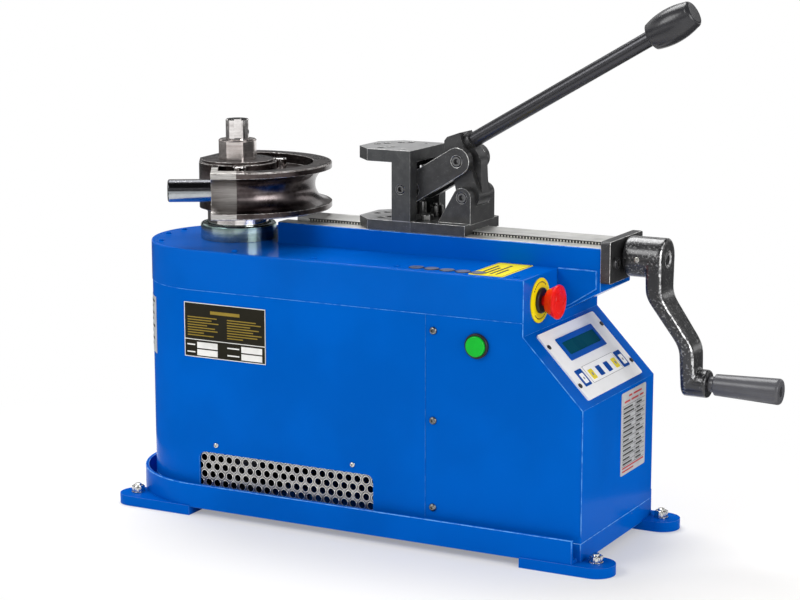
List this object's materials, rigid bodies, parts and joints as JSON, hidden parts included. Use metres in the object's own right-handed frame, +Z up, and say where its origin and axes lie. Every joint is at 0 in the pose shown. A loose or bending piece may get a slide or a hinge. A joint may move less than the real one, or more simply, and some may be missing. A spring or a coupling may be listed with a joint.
{
  "type": "electric pipe bender",
  "caption": "Bench pipe bender: sheet-metal body, turning bend die on a keyed spindle, screw-driven carriage with a toggle lever and jaw, side crank and sloped control panel.",
  "frame": {"origin": "middle of the footprint box, on the floor plane under the feet", "axes": "+X from the spindle end to the crank end, -Y towards the operator, +Z up"},
  "size_m": [0.8249, 0.25, 0.6389],
  "materials": {
    "body_blue": "gloss",
    "bright_steel": "polished",
    "machined_steel": "satin",
    "die_steel": "satin",
    "black_steel": "satin",
    "cast_black": "semi-gloss",
    "grip_grey": "satin",
    "rail_steel": "ground",
    "bare_sheet": "bare",
    "zinc": "zinc",
    "screw_black": "satin",
    "panel_white": "satin",
    "bezel_blue": "satin",
    "lcd": "gloss",
    "key_blue": "satin",
    "red_plastic": "gloss",
    "yellow_plastic": "satin",
    "green_plastic": "gloss",
    "black_plastic": "satin",
    "iron_grey": "cast",
    "bronze": "machined"
  },
  "bodies": {
    "base": {"base_tray": "body_blue", "foot_lugs": "body_blue", "foot_bolts": "zinc", "foot_washers": "zinc", "casing_main": "body_blue", "casing_end": "body_blue", "top_cover": "body_blue", "stored_pins": "bright_steel", "grille_sheet": "bare_sheet", "grille_screws": "zinc", "casing_screws": "screw_black", "deck_screws": "screw_black", "inner_frame": "iron_grey", "gearbox_housing": "iron_grey", "spindle_bearings": "machined_steel", "motor": "iron_grey", "bearing_cover": "bright_steel", "slide_beam": "body_blue", "front_rail": "rail_steel", "rear_rail": "rail_steel", "guide_bar": "rail_steel", "end_plate": "black_steel", "end_plate_screws": "screw_black", "estop_disc": "yellow_plastic", "estop_collar": "black_plastic", "estop_contacts": "black_plastic", "button_bezel": "black_plastic", "button_contacts": "black_plastic", "panel_plate": "panel_white", "display_bezel": "bezel_blue", "display_window": "lcd", "panel_keys": "key_blue", "panel_screws": "screw_black", "control_unit": "iron_grey"},
    "spindle": {"spindle": "bright_steel", "worm_wheel": "bronze", "bend_die": "die_steel", "drive_pins": "bright_steel", "hook_bar": "bright_steel", "retaining_collar": "bright_steel"},
    "worm": {"worm_shaft": "machined_steel"},
    "crank": {"lead_screw": "machined_steel", "crank": "cast_black", "crank_set_screw": "screw_black", "grip_bolt": "screw_black"},
    "grip": {"crank_grip": "grip_grey"},
    "carriage": {"carriage_base": "black_steel", "lead_nut": "bronze", "lower_pin": "black_steel", "base_bolts": "black_steel"},
    "jaw": {"jaw_block": "black_steel", "jaw_pin": "black_steel", "jaw_stud": "machined_steel"},
    "lever": {"lever_head": "black_steel", "lever_rod": "black_steel", "lever_knob": "grip_grey", "upper_pin": "black_steel"},
    "links": {"link_plates": "black_steel"},
    "estop": {"estop_mushroom": "red_plastic"},
    "button": {"button_cap": "green_plastic"}
  },
  "joints": [
    {"name": "spindle_turn", "type": "hinge", "parent": "base", "child": "spindle", "pos_m": [-0.2895, 0, 0.399], "axis": [0, 0, 1], "range_deg": [-130, 55]},
    {"name": "worm_turn", "type": "hinge", "parent": "base", "child": "worm", "pos_m": [-0.2895, 0.056, 0.215], "axis": [1, 0, 0], "range_deg": [-5240, 2220]},
    {"name": "crank_turn", "type": "hinge", "parent": "base", "child": "crank", "pos_m": [0.2475, 0.035, 0.3435], "axis": [-1, 0, 0], "range_deg": [-14400, 3960]},
    {"name": "grip_spin", "type": "hinge", "parent": "crank", "child": "grip", "pos_m": [0.3675, 0.035, 0.201], "axis": [1, 0, 0], "continuous": true},
    {"name": "carriage_slide", "type": "slide", "parent": "base", "child": "carriage", "axis": [-1, 0, 0], "range_m": [-0.1601, 0.0441]},
    {"name": "lever_swing", "type": "hinge", "parent": "carriage", "child": "lever", "pos_m": [0.0225, 0.0345, 0.4019], "axis": [0, -1, 0], "range_deg": [0, 72]},
    {"name": "link_turn", "type": "hinge", "parent": "lever", "child": "links", "pos_m": [0.0132, 0.0345, 0.4443], "axis": [0, -1, 0], "range_deg": [-103.5, 0]},
    {"name": "jaw_slide", "type": "slide", "parent": "carriage", "child": "jaw", "axis": [-1, 0, 0], "range_m": [0, 0.0441]},
    {"name": "estop_push", "type": "slide", "parent": "base", "child": "estop", "axis": [-1, 0, 0], "range_m": [0, 0.005], "stiffness_N_per_m": 600},
    {"name": "button_push", "type": "slide", "parent": "base", "child": "button", "axis": [0, 1, 0], "range_m": [0, 0.003], "stiffness_N_per_m": 400}
  ],
  "couplings": [
    {"joint": "worm_turn", "follows": "spindle_turn", "ratio": 40},
    {"joint": "carriage_slide", "follows": "crank_turn", "m_per_rad": 0.00063662},
    {"joint": "link_turn", "follows": "lever_swing", "ratio": -1.43},
    {"joint": "jaw_slide", "follows": "lever_swing", "m_per_rad": 0.03495}
  ]
}
